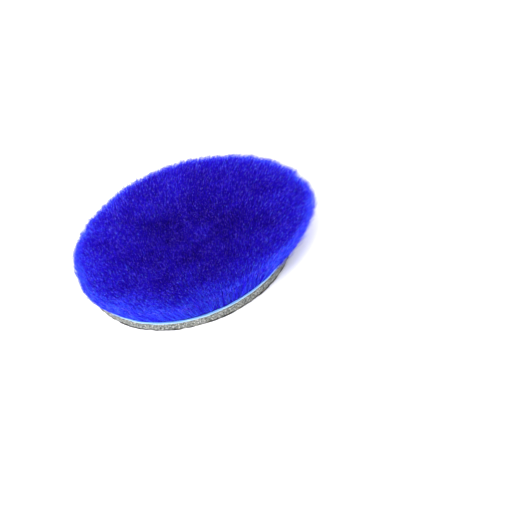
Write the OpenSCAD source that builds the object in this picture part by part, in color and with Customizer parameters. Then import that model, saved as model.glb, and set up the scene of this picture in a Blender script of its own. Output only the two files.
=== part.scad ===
// Round wool polishing pad on a foam interface, with a hook-and-loop face.
// Millimetres. The loop face lies on z = 0 and the wool points up, along +Z.

/* [Disc] */
// Diameter of the cloth, foam and hide, which are die-cut together
backing_d = 150; // [75:5:200]

/* [Loop cloth] */
// Height of the nylon loops that the backing plate's hooks grip
loop_h = 0.6; // [0.3:0.1:2]
// Thickness of the knitted ground that carries the loops
ground_h = 0.3; // [0.2:0.1:1]

/* [Adhesive films] */
// Thickness of each adhesive film
film_h = 0.2; // [0.1:0.05:0.5]
// How far each film stops short of the cut edge
film_setback = 0.6; // [0:0.1:3]

/* [Foam] */
// Thickness of the open-cell foam interface
foam_h = 5; // [3:0.5:15]

/* [Sheepskin] */
// Thickness of the tanned hide
hide_h = 2; // [1:0.1:3]
// Height of the standing wool above the hide
wool_h = 17; // [15:1:25]
// How far the wool flares out past the hide's edge
wool_flare = 14; // [4:1:15]
// Height above the hide at which the wool is widest
flare_h = 12.5; // [5:0.5:13]
// Width of the rounded shoulder between the wool's side and its working face
shoulder_w = 20; // [8:1:30]
// Rise of the working face from the shoulder to the centre
crown_h = 0.5; // [0.2:0.1:1.5]

/* [Hidden] */
backing_r = backing_d / 2;
film_r = backing_r - film_setback;
wool_r = backing_r + wool_flare;
shoulder_r = wool_r - shoulder_w;
shoulder_h = wool_h - crown_h - flare_h;
arc_steps = 10;

// each layer's underside, in the order that they are laminated
ground_z = loop_h;
loop_film_z = ground_z + ground_h;
foam_z = loop_film_z + film_h;
hide_film_z = foam_z + foam_h;
hide_z = hide_film_z + film_h;
wool_z = hide_z + hide_h;

$fn = 180;

// A flat round layer of radius r and thickness h, with its underside at z
module layer(z, r, h) {
    translate([0, 0, z]) cylinder(h = h, r = r);
}

// Half outline of the standing wool: a flare up from the hide's edge,
// a quarter-ellipse shoulder and a shallow crown
wool_outline = concat(
    [[0, 0], [backing_r, 0]],
    [for (i = [0 : arc_steps])
        let (a = 90 * i / arc_steps)
        [shoulder_r + shoulder_w * cos(a), flare_h + shoulder_h * sin(a)]],
    [for (i = [arc_steps - 1 : -1 : 0])
        let (r = shoulder_r * i / arc_steps)
        [r, wool_h - crown_h * pow(r / shoulder_r, 2)]]
);

// Nylon loops that stand off the cloth and form the mounting face
module loop_pile() {
    color("#0c0c0e") layer(0, backing_r, loop_h);
}

// Warp-knitted cloth that the loops are brushed up from
module loop_ground_cloth() {
    color("#141416") layer(ground_z, backing_r, ground_h);
}

// Film that bonds the loop cloth to the foam
module loop_adhesive() {
    color("#c8c2a8") layer(loop_film_z, film_r, film_h);
}

// Grey open-cell polyurethane that lets the wool follow curved panels
module foam_interface() {
    color("#9c9a92") layer(foam_z, backing_r, foam_h);
}

// Film that bonds the foam to the flesh side of the hide
module hide_adhesive() {
    color("#c8c2a8") layer(hide_film_z, film_r, film_h);
}

// Tanned sheepskin, pale at its cut edge
module hide_backing() {
    color("#c6e6ee") layer(hide_z, backing_r, hide_h);
}

// Envelope of the dyed wool that grows out of the hide
module wool_pile() {
    color("#2a1cc4") translate([0, 0, wool_z])
        rotate_extrude() polygon(wool_outline);
}

loop_pile();
loop_ground_cloth();
loop_adhesive();
foam_interface();
hide_adhesive();
hide_backing();
wool_pile();
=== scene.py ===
# Looks of a round wool polishing pad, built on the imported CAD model.
# Metres, in the row's frame: the loop face lies on z = 0 and the wool points up.
import math

import bpy
import numpy as np
from mathutils import Matrix, Vector
from mathutils.kdtree import KDTree


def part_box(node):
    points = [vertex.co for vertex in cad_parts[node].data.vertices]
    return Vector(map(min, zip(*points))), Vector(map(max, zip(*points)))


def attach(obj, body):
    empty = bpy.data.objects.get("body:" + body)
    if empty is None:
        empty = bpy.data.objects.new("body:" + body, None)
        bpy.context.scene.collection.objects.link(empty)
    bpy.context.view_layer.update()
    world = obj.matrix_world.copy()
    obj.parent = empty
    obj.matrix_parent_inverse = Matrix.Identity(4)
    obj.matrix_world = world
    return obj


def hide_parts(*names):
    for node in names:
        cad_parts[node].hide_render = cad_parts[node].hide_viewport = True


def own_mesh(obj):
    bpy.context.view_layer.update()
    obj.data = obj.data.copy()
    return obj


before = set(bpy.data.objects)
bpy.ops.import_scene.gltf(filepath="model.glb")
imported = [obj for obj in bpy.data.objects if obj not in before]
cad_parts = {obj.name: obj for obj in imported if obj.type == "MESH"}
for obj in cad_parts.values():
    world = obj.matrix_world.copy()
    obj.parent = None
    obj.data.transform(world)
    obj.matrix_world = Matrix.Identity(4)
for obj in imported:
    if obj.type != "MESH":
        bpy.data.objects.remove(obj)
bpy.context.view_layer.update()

MM = 0.001
TAU = 2 * math.pi

# ---------------------------------------------------------------- places, from the frame


def heights(node):
    """The lowest and highest z of a CAD node."""
    low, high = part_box(node)
    return low.z, high.z


def radius(node):
    """The radius of a round CAD node."""
    low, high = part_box(node)
    return (high.x - low.x) / 2


BACKING_R = radius("foam_interface")
FILM_R = radius("hide_adhesive")
LOOP_Z = heights("loop_pile")
GROUND_Z = heights("loop_ground_cloth")
LOOP_FILM_Z = heights("loop_adhesive")
FOAM_Z = heights("foam_interface")
HIDE_FILM_Z = heights("hide_adhesive")
HIDE_Z = heights("hide_backing")
WOOL_Z = heights("wool_pile")
WOOL_H = WOOL_Z[1] - WOOL_Z[0]

# ---------------------------------------------------------------- camera and studio

# the eye: metres from the pad, degrees above it, degrees of lean to one side, and millimetres of lens
EYE_DISTANCE = 1.2
EYE_ELEVATION = math.radians(37.66)
EYE_ROLL = math.radians(20.06)
LENS = 117.2
# how far right of and below the pad the camera aims, so that the pad sits left of the middle
AIM_RIGHT = 48.5 * MM
AIM_DOWN = 3.0 * MM

SURROUND_STRENGTH = 1.42
FLOOR_REACH = 6.0
FLOOR_PALE = 0.94
# each softbox: place, side in metres, and watts
KEY_LIGHT = ((-0.95, -0.75, 1.1), 1.4, 42)
RIM_LIGHT = ((1.0, 0.7, 0.9), 1.2, 12)


def make_camera():
    """Looks down at the pad from the front, leaning to one side, with the pad left of the middle."""
    pivot = Vector((0, 0, HIDE_Z[0]))
    back = Vector((0, -math.cos(EYE_ELEVATION), math.sin(EYE_ELEVATION)))
    level = Vector((1, 0, 0))
    rise = back.cross(level)
    right = math.cos(EYE_ROLL) * level - math.sin(EYE_ROLL) * rise
    up = math.sin(EYE_ROLL) * level + math.cos(EYE_ROLL) * rise
    eye = pivot + back * EYE_DISTANCE
    forward = (pivot + right * AIM_RIGHT - up * AIM_DOWN - eye).normalized()
    side = forward.cross(up).normalized()
    top = side.cross(forward)
    data = bpy.data.cameras.new("camera")
    data.lens = LENS
    data.clip_start = 0.05
    data.clip_end = 50
    camera = bpy.data.objects.new("camera", data)
    turn = Matrix((side, top, -forward)).transposed()
    camera.matrix_world = Matrix.Translation(eye) @ turn.to_4x4()
    bpy.context.scene.collection.objects.link(camera)
    bpy.context.scene.camera = camera


def area_light(name, place, size, power):
    """A square softbox that faces the pad."""
    data = bpy.data.lights.new(name, "AREA")
    data.size = size
    data.energy = power
    light = bpy.data.objects.new(name, data)
    light.location = place
    light.rotation_euler = (-Vector(place)).to_track_quat("-Z", "Y").to_euler()
    bpy.context.scene.collection.objects.link(light)


def make_studio():
    """A pale floor, a pale surround and two soft lights."""
    scene = bpy.context.scene
    scene.view_settings.view_transform = "Standard"
    world = bpy.data.worlds.new("surround")
    scene.world = world
    world.use_nodes = True
    surround = world.node_tree.nodes["Background"]
    surround.inputs["Color"].default_value = (1, 1, 1, 1)
    surround.inputs["Strength"].default_value = SURROUND_STRENGTH
    area_light("key", *KEY_LIGHT)
    area_light("rim", *RIM_LIGHT)
    mesh = bpy.data.meshes.new("floor")
    corners = [(x * FLOOR_REACH, y * FLOOR_REACH, 0) for x, y in ((-1, -1), (1, -1), (1, 1), (-1, 1))]
    mesh.from_pydata(corners, [], [(0, 1, 2, 3)])
    floor = bpy.data.objects.new("floor", mesh)
    scene.collection.objects.link(floor)
    paper = bpy.data.materials.new("floor_paper")
    paper.use_nodes = True
    shader = paper.node_tree.nodes["Principled BSDF"]
    shader.inputs["Base Color"].default_value = (FLOOR_PALE, FLOOR_PALE, FLOOR_PALE, 1)
    shader.inputs["Roughness"].default_value = 0.9
    shader.inputs["Specular IOR Level"].default_value = 0.1
    mesh.materials.append(paper)


# ---------------------------------------------------------------- small tools


# how many plane waves make up one field
WAVES = 14


def ripples(seed, wavelength):
    """A smooth random field over x and y, mostly -1.5 to 1.5, made of plane waves near one wavelength."""
    rng = np.random.default_rng(seed)
    heading = rng.uniform(0, TAU, WAVES)
    number = TAU / (wavelength * rng.uniform(0.7, 1.5, WAVES))
    phase = rng.uniform(0, TAU, WAVES)

    def field(x, y):
        total = np.zeros_like(x)
        for a, k, p in zip(heading, number, phase):
            total += np.sin(k * (x * math.cos(a) + y * math.sin(a)) + p)
        return total / math.sqrt(WAVES)

    return field


def smooth_step(x):
    """0 below 0, 1 above 1, with a smooth rise between."""
    x = np.clip(x, 0, 1)
    return x * x * (3 - 2 * x)


def unit(v):
    """Rows of v at length 1."""
    return v / np.maximum(np.linalg.norm(v, axis=-1, keepdims=True), 1e-12)


def mesh_of(name, points, faces, shades=None, sharp=None):
    """A mesh object from points and a list of face arrays, one array for each corner count.
    shades is each face's material. Edges bent by more than sharp degrees are drawn sharp."""
    mesh = bpy.data.meshes.new(name)
    mesh.vertices.add(len(points))
    mesh.vertices.foreach_set("co", np.asarray(points, np.float32).ravel())
    corners = np.concatenate([f.ravel() for f in faces])
    counts = np.concatenate([np.full(len(f), f.shape[1]) for f in faces])
    starts = np.concatenate([[0], np.cumsum(counts)[:-1]])
    mesh.loops.add(len(corners))
    mesh.loops.foreach_set("vertex_index", corners.astype(np.int32))
    mesh.polygons.add(len(counts))
    mesh.polygons.foreach_set("loop_start", starts.astype(np.int32))
    mesh.polygons.foreach_set("use_smooth", np.ones(len(counts), bool))
    if shades is not None:
        mesh.polygons.foreach_set("material_index", shades.astype(np.int32))
    mesh.update(calc_edges=True)
    if sharp is not None:
        mesh.set_sharp_from_angle(angle=math.radians(sharp))
    piece = bpy.data.objects.new(name, mesh)
    bpy.context.scene.collection.objects.link(piece)
    return piece


def settle(piece, body, slot, node, *materials):
    """Gives a piece its materials and its body, and hides the CAD node that it stands for. slot is not
    used.
    """
    for m in materials:
        piece.data.materials.append(m)
    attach(piece, body)
    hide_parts(node)


# ---------------------------------------------------------------- materials


class Nodes:
    """Short names for the nodes of one material."""

    def __init__(self, name, roughness, specular):
        self.material = bpy.data.materials.new(name)
        self.material.use_nodes = True
        self.tree = self.material.node_tree
        self.shader = self.tree.nodes["Principled BSDF"]
        self.shader.inputs["Roughness"].default_value = roughness
        self.shader.inputs["Specular IOR Level"].default_value = specular
        self.place = self.add("ShaderNodeTexCoord").outputs["Object"]

    def add(self, kind, **values):
        """A node, with its plain inputs set by name."""
        node = self.tree.nodes.new(kind)
        for key, value in values.items():
            node.inputs[key.replace("_", " ")].default_value = value
        return node

    def link(self, source, target):
        """Joins an output to an input."""
        self.tree.links.new(source, target)

    def noise(self, scale, detail=3.0, place=None):
        """A noise texture's value."""
        node = self.add("ShaderNodeTexNoise", Scale=scale, Detail=detail)
        self.link(place or self.place, node.inputs["Vector"])
        return node.outputs["Fac"]

    def cells(self, scale):
        """The distance to the nearest cell centre."""
        node = self.add("ShaderNodeTexVoronoi", Scale=scale)
        self.link(self.place, node.inputs["Vector"])
        return node.outputs["Distance"]

    def stretched(self, x, y, z):
        """The object's coordinates, scaled along each axis."""
        node = self.add("ShaderNodeMapping", Scale=(x, y, z))
        self.link(self.place, node.inputs["Vector"])
        return node.outputs["Vector"]

    def ramp(self, value, *stops):
        """A colour ramp. Each stop is (position, (r, g, b))."""
        node = self.add("ShaderNodeValToRGB")
        band = node.color_ramp.elements
        while len(band) < len(stops):
            band.new(0.5)
        for element, (at, colour) in zip(band, stops):
            element.position = at
            element.color = (*colour, 1)
        self.link(value, node.inputs["Fac"])
        return node.outputs["Color"]

    def mix(self, share, a, b, blend="MIX"):
        """Two colours mixed by share, which is an output or a number."""
        node = self.tree.nodes.new("ShaderNodeMix")
        node.data_type = "RGBA"
        node.blend_type = blend
        for value, socket in ((share, node.inputs[0]), (a, node.inputs[6]), (b, node.inputs[7])):
            if isinstance(value, bpy.types.NodeSocket):
                self.link(value, socket)
            elif socket == node.inputs[0]:
                socket.default_value = value
            else:
                socket.default_value = (*value, 1)
        return node.outputs[2]

    def maths(self, operation, a, b):
        """One arithmetic step on outputs or numbers."""
        node = self.tree.nodes.new("ShaderNodeMath")
        node.operation = operation
        for value, socket in ((a, node.inputs[0]), (b, node.inputs[1])):
            if isinstance(value, bpy.types.NodeSocket):
                self.link(value, socket)
            else:
                socket.default_value = value
        return node.outputs[0]

    def bump(self, height, depth):
        """Relief of that depth in metres."""
        node = self.add("ShaderNodeBump", Strength=1.0, Distance=depth)
        self.link(height, node.inputs["Height"])
        self.link(node.outputs["Normal"], self.shader.inputs["Normal"])

    def colour(self, socket):
        """Makes that output the base colour, and hands over the finished material."""
        self.link(socket, self.shader.inputs["Base Color"])
        return self.material


def foam_material():
    """Grey open-cell foam: pale struts, painted shade in the pits and soft blotches."""
    n = Nodes("grey_foam", 0.95, 0.15)
    grain = n.noise(1600, 2)
    blotch = n.noise(800, 1)
    pits = n.cells(2300)
    base = n.ramp(
        grain,
        (0.35, (0.070, 0.068, 0.064)),
        (0.5, (0.156, 0.172, 0.150)),
        (0.65, (0.350, 0.342, 0.330)),
    )
    worn = n.ramp(blotch, (0.35, (0.56, 0.57, 0.56)), (0.65, (1.44, 1.43, 1.44)))
    tinted = n.mix(1.0, base, worn, "MULTIPLY")
    # painted shade in the pits of the cut cells
    pit_shade = n.ramp(pits, (0.0, (0.62, 0.6, 0.56)), (0.45, (1, 1, 1)))
    n.bump(n.maths("ADD", pits, grain), 0.25 * MM)
    return n.colour(n.mix(1.0, tinted, pit_shade, "MULTIPLY"))


def hide_material():
    """Ice-blue suede, with dye that has bled in from the wool side."""
    n = Nodes("sheepskin_hide", 0.8, 0.2)
    split = n.add("ShaderNodeSeparateXYZ")
    n.link(n.place, split.inputs[0])
    rise = n.add("ShaderNodeMapRange")
    n.link(split.outputs["Z"], rise.inputs["Value"])
    rise.inputs["From Min"].default_value = HIDE_Z[0]
    rise.inputs["From Max"].default_value = HIDE_Z[1]
    patches = n.noise(160, 3)
    fibres = n.noise(1, 4, n.stretched(700, 700, 2600))
    level = n.maths("ADD", rise.outputs[0], n.maths("MULTIPLY", patches, 0.5))
    pale = n.ramp(fibres, (0.3, (0.20, 0.34, 0.50)), (0.65, (0.37, 0.50, 0.62)))
    dye = n.ramp(level, (0.86, (0, 0, 0)), (1.0, (1, 1, 1)))
    n.bump(fibres, 0.15 * MM)
    return n.colour(n.mix(dye, pale, (0.11, 0.25, 0.72)))


def film_material():
    """Amber contact adhesive with small bubbles."""
    n = Nodes("adhesive_film", 0.35, 0.5)
    n.bump(n.cells(900), 0.05 * MM)
    cloud = n.noise(300)
    return n.colour(n.ramp(cloud, (0.3, (0.42, 0.37, 0.25)), (0.7, (0.62, 0.57, 0.43))))


def ground_material():
    """Black warp knit with fine ribs."""
    n = Nodes("ground_knit", 0.95, 0.05)
    ribs = n.add("ShaderNodeTexWave", Scale=260.0, Distortion=1.5, Detail=2.0)
    n.link(n.place, ribs.inputs["Vector"])
    n.bump(ribs.outputs["Fac"], 0.08 * MM)
    yarn = n.noise(900)
    return n.colour(n.ramp(yarn, (0.3, (0.001, 0.001, 0.0012)), (0.7, (0.005, 0.005, 0.006))))


def underfleece_material():
    """The dense lower wool: its own deep blue darkened with painted shade of the pile's depth, and painted
    shade in the partings.
    """
    n = Nodes("underfleece", 0.95, 0.05)
    partings = n.cells(620)
    fibres = n.noise(1500, 4)
    n.bump(n.maths("ADD", partings, fibres), 0.6 * MM)
    # the wool's own blue, darkened with painted shade for the depth of the pile
    deep = n.ramp(fibres, (0.3, (0.004, 0.001, 0.09)), (0.7, (0.012, 0.004, 0.26)))
    # painted shade in the partings
    parting_shade = n.ramp(partings, (0.1, (0.45, 0.45, 0.5)), (0.6, (1, 1, 1)))
    return n.colour(n.mix(1.0, deep, parting_shade, "MULTIPLY"))


# dyed wool, from painted shade in the depths to painted light on the tips of the sparse rim
WOOL_COLOURS = (
    (0.0035, 0.0002, 0.060),
    (0.0075, 0.0003, 0.20),
    (0.0130, 0.0014, 0.40),
    (0.0200, 0.0028, 0.66),
    (0.0300, 0.0220, 0.87),
    (0.0700, 0.1700, 1.00),
)
WOOL_SHADES = 11
# the same with a painted highlight, where a fibre's tip catches the light, one for each run of GLINT_STEP
# tones
GLINT_COLOURS = ((0.130, 0.055, 0.70), (0.160, 0.080, 0.92), (0.190, 0.170, 1.00))
GLINT_STEP = 3.6
NYLON_COLOURS = ((0.0006, 0.0006, 0.0008), (0.0015, 0.0015, 0.002), (0.004, 0.004, 0.005))


def plain_fibre(name, colour, roughness, specular):
    """A fibre's finish. Fibres differ from each other by which finish they carry, so each is plain."""
    material = bpy.data.materials.new(name)
    material.use_nodes = True
    shader = material.node_tree.nodes["Principled BSDF"]
    shader.inputs["Base Color"].default_value = (*colour, 1)
    shader.inputs["Roughness"].default_value = roughness
    shader.inputs["Specular IOR Level"].default_value = specular
    return material


def wool_materials():
    """A run of blues from dark to light, then the painted glints."""
    keys = np.linspace(0, WOOL_SHADES - 1, len(WOOL_COLOURS))
    made = []
    for i in range(WOOL_SHADES):
        colour = [float(np.interp(i, keys, [c[k] for c in WOOL_COLOURS])) for k in range(3)]
        made.append(plain_fibre(f"wool_blue_{i + 1:02d}", colour, 0.85, 0.04))
    for i, colour in enumerate(GLINT_COLOURS):
        made.append(plain_fibre(f"wool_glint_{i + 1}", colour, 0.7, 0.1))
    return made


def nylon_materials():
    """Three near blacks."""
    return [plain_fibre(f"nylon_black_{i + 1}", c, 0.85, 0.06) for i, c in enumerate(NYLON_COLOURS)]


# ---------------------------------------------------------------- thin tubes


def tubes(name, lines, widths, level, shades):
    """Three-sided closed tubes, flat at the first end and drawn to a point at the last.
    lines is (tubes, stations, 3). widths, from the middle to a corner, and shades are
    (tubes, stations - 1). level holds one direction for each tube that its line never runs along."""
    count, stations = lines.shape[:2]
    rings = stations - 1
    along = unit(np.gradient(lines, axis=1))[:, :rings]
    u = unit(np.cross(along, level[:, None]))
    v = np.cross(along, u)
    angles = (TAU * np.arange(3) / 3)[None, None, :, None]
    spokes = u[:, :, None] * np.cos(angles) + v[:, :, None] * np.sin(angles)
    shell = lines[:, :rings, None] + spokes * widths[:, :, None, None]
    points = np.concatenate([shell.reshape(count, rings * 3, 3), lines[:, -1:]], 1)
    per = rings * 3 + 1
    first = (np.arange(count) * per)[:, None, None]
    quads = [
        [3 * k + j, 3 * k + (j + 1) % 3, 3 * k + 3 + (j + 1) % 3, 3 * k + 3 + j]
        for k in range(rings - 1)
        for j in range(3)
    ]
    last = 3 * (rings - 1)
    ends = [[last + j, last + (j + 1) % 3, per - 1] for j in range(3)] + [[2, 1, 0]]
    quads = (first + np.array(quads)[None]).reshape(-1, 4)
    ends = (first + np.array(ends)[None]).reshape(-1, 3)
    quad_shade = np.repeat(shades[:, : rings - 1], 3, axis=1)
    end_shade = np.concatenate([np.repeat(shades[:, rings - 1 :], 3, axis=1), shades[:, :1]], 1)
    face_shade = np.concatenate([quad_shade.ravel(), end_shade.ravel()])
    return mesh_of(name, points.reshape(-1, 3), [quads, ends], face_shade)


def shaken_grid(rng, spacing, radius, shake):
    """Places on a disc: a triangular grid, each place moved at random by a share of the spacing."""
    step = spacing * math.sqrt(3) / 2
    rows = int(radius / step) + 1
    places = []
    for row in range(-rows, rows + 1):
        cols = np.arange(-radius - spacing, radius + spacing, spacing) + (row % 2) * spacing / 2
        places.append(np.stack([cols, np.full(len(cols), row * step)], 1))
    places = np.concatenate(places)
    places += rng.uniform(-shake, shake, places.shape) * spacing
    return places[np.hypot(*places.T) < radius]


# ---------------------------------------------------------------- wool

# how high the wool stands above the hide, how far out its roots go, and how deep in the hide they are
PILE = WOOL_H * 0.985
ROOT_R = BACKING_R - 0.35 * MM
ROOT_DEPTH = 0.15 * MM

# how far the rim's tips splay outwards in x and in y, and the share of the radius where that starts
SPLAY = (14.3 * MM, 7.5 * MM)
SPLAY_FROM = 0.2
SPLAY_POWER = 1.3
# how far the tips are brushed to one side: in the middle, at the rim, and where the front and back differ
NAP_MIDDLE = (0.8 * MM, -4.5 * MM)
NAP_RIM = (8.4 * MM, 2.4 * MM)
NAP_FRONT_X = -1.5 * MM
NAP_BACK_Y = 5.2 * MM
# wide and narrow swirls in the nap, and how much of them the rim loses
SWIRL = 1.6 * MM
RUFFLE = 0.5 * MM
RIM_STILLNESS = 0.6
# a tip this far from its root would lie flat, and how flat one may get
REACH = 36 * MM
FLATTEST = 0.1

# tufts: distance apart, fibres in each, radius at the root, and differences in length, lean and curl
TUFT_SPACING = 0.72 * MM
TUFT_FIBRES = 6
TUFT_R = 0.38 * MM
TUFT_LIFT = 0.016
TUFT_DRIFT = 0.22 * MM
TUFT_CURL = 0.3 * MM
# the share of those differences that tufts at the rim lose
CALM = 0.7
# how much the wool's height swells and dips over the pad
SWELL = 0.014

# differences between fibres. Lengths are shares of the usual length: their spread, how many rim fibres
# fly away, by how much, and the longest
LENGTH_SPREAD = 0.024
FLYAWAYS = 0.22
FLYAWAY_EXTRA = (0.03, 0.14)
LONGEST = 1.13
# how much of its height a rim fibre loses, usually and at most
DROOP = 0.16
DROOP_MOST = 0.55
# how many rim fibres are frizzy, how much further their tips wander, and how far any tip may
FRIZZY = 0.45
FRIZZ = 2.2
WIDEST = 2.2 * MM
FIBRE_CURL = 0.15 * MM

# tones run from 0, the darkest blue, to WOOL_SHADES - 1. The first is the painted shade of the darkest
# patch,
# and the others change it: painted light away from that patch and towards the rim, random tone in soft
# patches, painted light across the pad from one side to the other, random tone from tuft to tuft and from
# fibre to fibre, painted shade below the tips, and painted light at the tips of the rim
TONE_HOLLOW = 4.0
TONE_FLANK = 1.4
TONE_RIM = 1.4
TONE_PATCH = 0.5
TONE_SIDE_LIGHT = 0.3
TONE_TUFT = 1.7
TONE_FIBRE = 0.8
TONE_STEM = 2.2
TONE_TIP = 1.9
# where the painted shade of the darkest patch lies, in front of the middle
HOLLOW_Y = -8 * MM
# the share of tips that get a painted glint, in most tufts and in the ones lighter than their neighbours
GLINTS = 0.05
BRIGHT_GLINTS = 0.32

# how wide the rim's band of whole fibres is at the roots, and a fibre's usual radius
RIM_BAND = 3.6 * MM
FIBRE_R = 0.08 * MM
# how far up its fibres the dense lower wool reaches
FLEECE_TOP = 0.72

swirl_x = ripples(11, 40 * MM)
swirl_y = ripples(12, 40 * MM)
ruffle_x = ripples(13, 9 * MM)
ruffle_y = ripples(14, 9 * MM)
tuft_rise = ripples(15, 14 * MM)
dye_patch = ripples(16, 26 * MM)
fleece_lump = ripples(17, 8 * MM)


def rim_share(x, y):
    """0 over the middle of the pad, rising to 1 at its edge."""
    return smooth_step((np.hypot(x, y) / BACKING_R - SPLAY_FROM) / (1 - SPLAY_FROM))


def facing(x, y, side):
    """How much a place's bearing faces the front (side -1) or the back (side 1), from 0 to 1."""
    return np.maximum(side * y / np.maximum(np.hypot(x, y), 1e-6), 0) ** 2


def tip_shift(x, y):
    """Where a fibre's tip lies from its root at (x, y): splayed at the rim and brushed to one side.
    The further it leans, the lower it is."""
    r = np.maximum(np.hypot(x, y), 1e-6)
    e = rim_share(x, y)
    rim_x = NAP_RIM[0] + (NAP_FRONT_X - NAP_RIM[0]) * facing(x, y, -1)
    rim_y = NAP_RIM[1] + (NAP_BACK_Y - NAP_RIM[1]) * facing(x, y, 1)
    nap_x = NAP_MIDDLE[0] + (rim_x - NAP_MIDDLE[0]) * e
    nap_y = NAP_MIDDLE[1] + (rim_y - NAP_MIDDLE[1]) * e
    stir = 1 - RIM_STILLNESS * e
    splay = e**SPLAY_POWER
    dx = SPLAY[0] * splay * x / r + nap_x + stir * (SWIRL * swirl_x(x, y) + RUFFLE * ruffle_x(x, y))
    dy = SPLAY[1] * splay * y / r + nap_y + stir * (SWIRL * swirl_y(x, y) + RUFFLE * ruffle_y(x, y))
    across = np.hypot(dx, dy) / REACH
    return dx, dy, PILE * np.sqrt(np.maximum(1 - across**2, FLATTEST))


def make_underfleece():
    """The dense lower wool as one closed body that follows the fibres part of the way up."""
    around = np.linspace(0, TAU, 360, endpoint=False)
    inner = ROOT_R - 0.5 * MM
    radii = inner * np.linspace(0.01, 1, 70)
    wall = [(inner, t) for t in np.linspace(0, FLEECE_TOP, 12)]
    path = [(inner * share, 0.0) for share in (0.01, 0.5)] + wall
    path += [(r, FLEECE_TOP) for r in radii[-2::-1]]
    rows = []
    for r, t in path:
        x, y = r * np.cos(around), r * np.sin(around)
        dx, dy, rise = tip_shift(x, y)
        lumps = 1 + 0.035 * t * tuft_rise(x * 2.2, y * 2.2) + 0.03 * t * fleece_lump(x * 2, y * 2)
        rows.append(np.stack([x + dx * t, y + dy * t, HIDE_Z[1] + rise * t * lumps], 1))
    piece = turned("underfleece", rows)
    settle(piece, "wool_face", "dyed_wool", "wool_pile", underfleece_material())


def specks(rng, places):
    """A random number for each place that stands out from its neighbours', about -2.5 to 2.5."""
    tree = KDTree(len(places))
    for i, (x, y) in enumerate(places):
        tree.insert((x, y, 0), i)
    tree.balance()
    value = rng.normal(0, 1, len(places))
    near = [[found[1] for found in tree.find_n((x, y, 0), 7)] for x, y in places]
    return value - value[np.array(near)].mean(1)


def wool_roots(rng):
    """The tufts' places, which tuft each fibre belongs to, the fibres' own roots, and how far each root
    is from its tuft's place. An extra ring of tufts closes the edge."""
    places = shaken_grid(rng, TUFT_SPACING, ROOT_R - 0.3 * TUFT_SPACING, 0.36)
    bearing = rng.uniform(0, TAU, int(TAU * ROOT_R / TUFT_SPACING * 1.5))
    edge = ROOT_R - rng.uniform(0.05, 0.5, len(bearing)) * TUFT_SPACING
    places = np.concatenate([places, np.stack([edge * np.cos(bearing), edge * np.sin(bearing)], 1)])
    tuft = np.repeat(np.arange(len(places)), TUFT_FIBRES)
    angle = rng.uniform(0, TAU, len(tuft))
    away = TUFT_R * np.sqrt(rng.random(len(tuft)))
    offset = np.stack([away * np.cos(angle), away * np.sin(angle)], 1)
    roots = places[tuft] + offset
    roots /= np.maximum(np.hypot(*roots.T) / ROOT_R, 1)[:, None]
    return places, tuft, roots, offset


def fibre_lines(rng, places, tuft, roots, offset, steps, gather, stray):
    """Centre lines of fibres through these shares of their length. gather under 1 draws each tuft in
    towards its tips, and stray is how far a tip wanders from its tuft."""
    count = len(roots)
    calm = 1 - CALM * smooth_step((np.hypot(*places.T) / ROOT_R - 0.85) / 0.12)
    lift = 1 + SWELL * tuft_rise(*places.T) + calm * rng.normal(0, TUFT_LIFT, len(places))
    dx, dy, rise = tip_shift(*places.T)
    drift = calm[:, None] * rng.normal(0, TUFT_DRIFT, (len(places), 2))
    shift = np.stack([dx, dy], 1) + drift
    edge = smooth_step((np.hypot(*roots.T) / ROOT_R - 0.9) / 0.1)
    length = lift[tuft] + rng.normal(0, LENGTH_SPREAD, count) * (1 + 2 * edge)
    length += edge * np.where(rng.random(count) < FLYAWAYS, rng.uniform(*FLYAWAY_EXTRA, count), 0)
    length = np.minimum(length, LONGEST)
    droop = edge * np.minimum(np.abs(rng.normal(0, DROOP, count)), DROOP_MOST)
    frizz = 1 + FRIZZ * edge * (rng.random(count) < FRIZZY)
    sway = rng.normal(0, stray, (count, 2)) * frizz[:, None]
    sway *= np.minimum(1, WIDEST / np.maximum(np.hypot(*sway.T), 1e-9))[:, None]
    tip = places[tuft] + offset * gather + shift[tuft] * length[:, None] + sway
    base = np.column_stack([roots, np.full(count, HIDE_Z[1] - ROOT_DEPTH)])
    peak = np.column_stack([tip, HIDE_Z[1] + rise[tuft] * length * (1 - droop)])
    t = np.array(steps)[None, :, None]
    lines = base[:, None] + (peak - base)[:, None] * t
    bow = np.sin(np.pi * t) * rng.normal(0, 0.8 * stray, (count, 1, 3))
    crimp = rng.normal(0, 0.25 * stray, lines.shape) * np.minimum(t * 8, 1)
    lines = lines + bow + crimp
    curl = calm[:, None] * rng.normal(0, TUFT_CURL, (len(places), 3))
    lines[:, -1] += curl[tuft] + rng.normal(0, FIBRE_CURL, (count, 3))
    return lines


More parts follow.
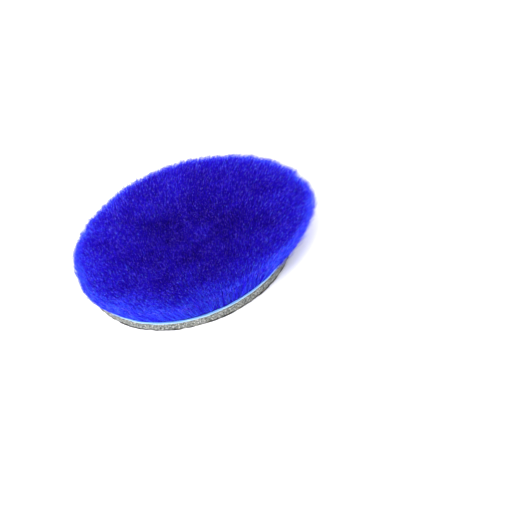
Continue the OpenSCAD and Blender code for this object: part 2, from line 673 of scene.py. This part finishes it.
def fibre_shades(rng, places, tuft, steps):
    """Which blue each stretch has: painted shade in a patch in front of the middle and low down, painted
    light towards the rim and the front left, painted highlights on some tips, and random tone in patches
    and from tuft to tuft.
    """
    x, y = places.T
    e = np.hypot(x, y) / BACKING_R
    off = np.hypot(x, y - HOLLOW_Y) / BACKING_R
    flank = smooth_step((off - 0.3) / 0.5)
    shoulder = smooth_step((e - 0.7) / 0.3)
    # painted shade at the darkest patch, painted light on its flanks and towards the rim, and random tone
    # in dye patches
    tone = TONE_HOLLOW + TONE_FLANK * flank + TONE_RIM * shoulder + TONE_PATCH * dye_patch(x, y)
    # painted light: lighter across the pad towards the front left, where the key light stands
    tone -= TONE_SIDE_LIGHT * (x + 1.4 * y) / BACKING_R
    speck = specks(rng, places)
    tone += TONE_TUFT * speck
    low = 1 - np.array(steps)[None, 1:]
    front = facing(x, y, -1)
    rim_from = 0.90 - 0.08 * front
    edge = smooth_step((e - rim_from) / (0.99 - rim_from))[tuft, None]
    # rim fibres stay light down to their roots, which get painted shade, and the others get painted shade
    # below their tips
    fall = edge * (0.7 * low - 8 * smooth_step((low - 0.86) / 0.06))
    fall -= (1 - edge) * TONE_STEM * (low > 0)
    # painted light on the last third of a rim fibre, except at the front
    fall += (TONE_TIP * (1 - front))[tuft, None] * edge * smooth_step((0.35 - low) / 0.25)
    own = rng.normal(0, TONE_FIBRE, (len(tuft), 1)) * (1 + 0.5 * edge)
    tone = np.clip(tone[tuft, None] + own + fall, 0, WOOL_SHADES - 1)
    # painted highlights on a share of the tips, more in tufts lighter than their neighbours
    sparkle = np.where(speck > 1.0, BRIGHT_GLINTS, GLINTS)
    glint = (rng.random((len(tuft), 1)) < sparkle[tuft, None]) & (low < 0.05)
    bright = WOOL_SHADES + (tone / GLINT_STEP).astype(int)
    return np.where(glint, bright, np.rint(tone).astype(int))


def make_fibres(name, rng, wanted, wool, steps, gather, stray, finishes, parts):
    """The wanted ones of these fibres, in a few pieces cut by bearing."""
    places, tuft, roots, offset = wool
    lines = fibre_lines(rng, places, tuft[wanted], roots[wanted], offset[wanted], steps, gather, stray)
    shades = fibre_shades(rng, places, tuft[wanted], steps)
    count = len(lines)
    taper = np.linspace(1, 0.75, len(steps) - 1)
    widths = FIBRE_R * rng.uniform(0.75, 1.25, (count, 1)) * taper[None]
    turn = rng.uniform(0, TAU, count)
    level = np.stack([np.cos(turn), np.sin(turn), np.zeros(count)], 1)
    order = np.argsort(np.arctan2(*roots[wanted].T), kind="stable")
    for part, mine in enumerate(np.array_split(order, parts)):
        piece = tubes(f"{name}_{part + 1}", lines[mine], widths[mine], level[mine], shades[mine])
        settle(piece, "wool_face", "dyed_wool", "wool_pile", *finishes)


def make_wool():
    """All the fibres: whole ones at the rim, and the visible top of the ones behind them."""
    finishes = wool_materials()
    rng = np.random.default_rng(2024)
    wool = wool_roots(rng)
    rim = np.hypot(*wool[2].T) > ROOT_R - RIM_BAND
    field_steps = (0.62, 0.94, 1.0)
    rim_steps = (0.01, 0.09, 0.3, 0.55, 0.8, 0.96, 1.0)
    make_fibres("wool_field", rng, ~rim, wool, field_steps, 0.85, 0.18 * MM, finishes, 12)
    make_fibres("wool_rim", rng, rim, wool, rim_steps, 1.0, 0.75 * MM, finishes, 6)


# ---------------------------------------------------------------- layers


def turned(name, rows, sharp=None):
    """A closed round piece from rings of points, bottom to top, with a fan of faces at each end."""
    rows = np.asarray(rows)
    count, around = rows.shape[:2]
    points = np.concatenate([rows.reshape(-1, 3), rows[:1].mean(1), rows[-1:].mean(1)])
    here = np.arange(around)
    ahead = np.roll(here, -1)
    start = (np.arange(count - 1) * around)[:, None]
    quads = np.stack([start + here, start + ahead, start + around + ahead, start + around + here], -1)
    foot = np.stack([ahead, here, np.full(around, count * around)], -1)
    top = (count - 1) * around
    crown = np.stack([top + here, top + ahead, np.full(around, count * around + 1)], -1)
    return mesh_of(name, points, [quads.reshape(-1, 4), np.concatenate([foot, crown])], sharp=sharp)


# how many waves make up each run of a wavy edge
EDGE_WAVES = 7


def wander(seed, bearing, *runs):
    """A closed wavy line around the pad. Each run is (size, fewest turns, turns that it stays below)."""
    rng = np.random.default_rng(seed)
    total = np.zeros_like(bearing)
    for size, fewest, most in runs:
        for turns in rng.integers(fewest, most, EDGE_WAVES):
            total += size / math.sqrt(EDGE_WAVES) * np.sin(turns * bearing + rng.uniform(0, TAU))
    return total


def ring(radius, bearing, height):
    """Points around the pad. radius and height may each be one number or one for each point."""
    level = np.broadcast_to(height, bearing.shape)
    return np.stack([radius * np.cos(bearing), radius * np.sin(bearing), level], 1)


def thin_disc(name, radius, span, seed, waves):
    """A thin closed layer with an uneven cut edge."""
    bearing = np.linspace(0, TAU, 720, endpoint=False)
    edge = radius + wander(seed, bearing, *waves)
    low, high = span
    rows = [ring(radius * share, bearing, low) for share in (0.02, 0.35, 0.7, 0.93)]
    rows += [ring(edge, bearing, low), ring(edge, bearing, high)]
    rows += [ring(radius * share, bearing, high) for share in (0.93, 0.7, 0.35, 0.02)]
    return turned(name, rows, sharp=40)


def make_films():
    """The two adhesive layers, one under the foam and one under the hide."""
    waves = ((0.22 * MM, 3, 20), (0.12 * MM, 30, 90))
    for name, body, span, seed in (
        ("loop_adhesive", "backing", LOOP_FILM_Z, 31),
        ("hide_adhesive", "wool_face", HIDE_FILM_Z, 32),
    ):
        film = thin_disc(f"{name}_film", FILM_R, span, seed, waves)
        settle(film, body, "adhesive_film", name, film_material())


# the foam's cut cells: distance apart, radius and depth
PIT_SPACING = 0.6 * MM
PIT_R = 0.6 * PIT_SPACING
PIT_DEPTH = 0.2 * MM
# how far the foam's top and bottom edges are rounded in, and over what height
FOAM_ROUND = (0.18 * MM, 0.2 * MM)


def make_foam():
    """Open-cell foam with cut cells all round its edge."""
    rng = np.random.default_rng(77)
    low, high = FOAM_Z
    bearing = np.linspace(0, TAU, 2600, endpoint=False)
    levels = np.linspace(low, high, 27)
    length = TAU * BACKING_R
    count = int(length * (high - low) / PIT_SPACING**2)
    pits = rng.uniform((0, low), (length, high), (count, 2))
    wrapped = np.concatenate([pits, pits - (length, 0), pits + (length, 0)])
    tree = KDTree(len(wrapped))
    for i, (along, height) in enumerate(wrapped):
        tree.insert((along, height, 0), i)
    tree.balance()
    cut = wander(41, bearing, (0.2 * MM, 3, 12), (0.2 * MM, 20, 70))
    rows = [ring(BACKING_R * share, bearing, low) for share in (0.02, 0.5, 0.96)]
    for z in levels:
        near = np.array([tree.find((b * BACKING_R, z, 0))[2] for b in bearing])
        pit = PIT_DEPTH * (1 - smooth_step(near / PIT_R))
        corner = FOAM_ROUND[0] * np.exp(-min(z - low, high - z) / FOAM_ROUND[1])
        rows.append(ring(BACKING_R + cut - pit - corner, bearing, z))
    rows += [ring(BACKING_R * share, bearing, high) for share in (0.96, 0.5, 0.02)]
    foam = turned("foam_pad", rows, sharp=50)
    settle(foam, "backing", "grey_foam", "foam_interface", foam_material())
    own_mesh(foam)


# how far the hide's cut edge bulges out, and how far it turns up at the top
HIDE_BULGE = 0.45 * MM
HIDE_LIP = 0.1 * MM


def make_hide():
    """The sheepskin that carries the wool, with a raw suede edge."""
    bearing = np.linspace(0, TAU, 1440, endpoint=False)
    low, high = HIDE_Z
    cut = wander(51, bearing, (0.22 * MM, 2, 12), (0.12 * MM, 20, 60), (0.07 * MM, 90, 260))
    lip = HIDE_LIP + wander(52, bearing, (0.22 * MM, 3, 14), (0.24 * MM, 20, 80))
    rows = [ring(BACKING_R * share, bearing, low) for share in (0.02, 0.4, 0.8, 0.97)]
    for share in np.linspace(0, 1, 9):
        bulge = HIDE_BULGE * math.sin(math.pi * min(share, 0.8)) ** 0.7
        fuzz = wander(60 + int(share * 8), bearing, (0.05 * MM, 150, 420))
        z = low + (high - low) * share + lip * share
        rows.append(ring(BACKING_R - 0.15 * MM + cut + bulge + fuzz, bearing, z))
    rows += [ring(BACKING_R * share, bearing, high) for share in (0.97, 0.8, 0.4, 0.02)]
    hide = turned("sheepskin", rows, sharp=60)
    settle(hide, "wool_face", "sheepskin_hide", "hide_backing", hide_material())


# nylon loops: distance apart, least and greatest half width, and the yarn's radius
LOOP_SPACING = 1.05 * MM
LOOP_HALF_WIDTH = (0.3 * MM, 0.55 * MM)
YARN_R = 0.045 * MM
# a loop's shape, as shares of its half width along it and of its depth below the cloth
LOOP_PATH = ((-0.6, -0.12), (-0.95, 0.35), (-0.6, 0.85), (0, 1.0), (0.6, 0.85), (0.95, 0.35), (0.6, -0.12))


def make_loop_cloth():
    """Black knit cloth and the standing loops that grip a hook-faced plate."""
    waves = ((0.2 * MM, 3, 16), (0.2 * MM, 30, 120))
    cloth = thin_disc("loop_ground", BACKING_R, GROUND_Z, 33, waves)
    settle(cloth, "backing", "ground_knit", "loop_ground_cloth", ground_material())
    rng = np.random.default_rng(91)
    feet = shaken_grid(rng, LOOP_SPACING, BACKING_R - 0.5 * MM, 0.3)
    count = len(feet)
    turn = rng.uniform(0, TAU, count)
    heading = np.stack([np.cos(turn), np.sin(turn), np.zeros(count)], 1)
    reach = rng.uniform(*LOOP_HALF_WIDTH, count)
    depth = (LOOP_Z[1] - LOOP_Z[0] - 0.06 * MM) * rng.uniform(0.72, 1.0, count)
    lines = []
    for along, drop in LOOP_PATH:
        flat = np.column_stack([feet, np.full(count, LOOP_Z[1])]) + heading * (reach * along)[:, None]
        flat[:, 2] -= depth * drop
        lines.append(flat)
    lines = np.stack(lines, 1)
    level = np.cross(heading, (0, 0, 1.0))
    widths = np.full((count, lines.shape[1] - 1), YARN_R)
    shades = np.repeat(rng.integers(0, 3, (count, 1)), lines.shape[1] - 1, axis=1)
    finishes = nylon_materials()
    order = np.argsort(np.arctan2(*feet.T), kind="stable")
    for part, mine in enumerate(np.array_split(order, 4)):
        piece = tubes(f"loops_{part + 1}", lines[mine], widths[mine], level[mine], shades[mine])
        settle(piece, "backing", "loop_nylon", "loop_pile", *finishes)


# ---------------------------------------------------------------- build

make_camera()
make_studio()
make_loop_cloth()
make_films()
make_foam()
make_hide()
make_underfleece()
make_wool()
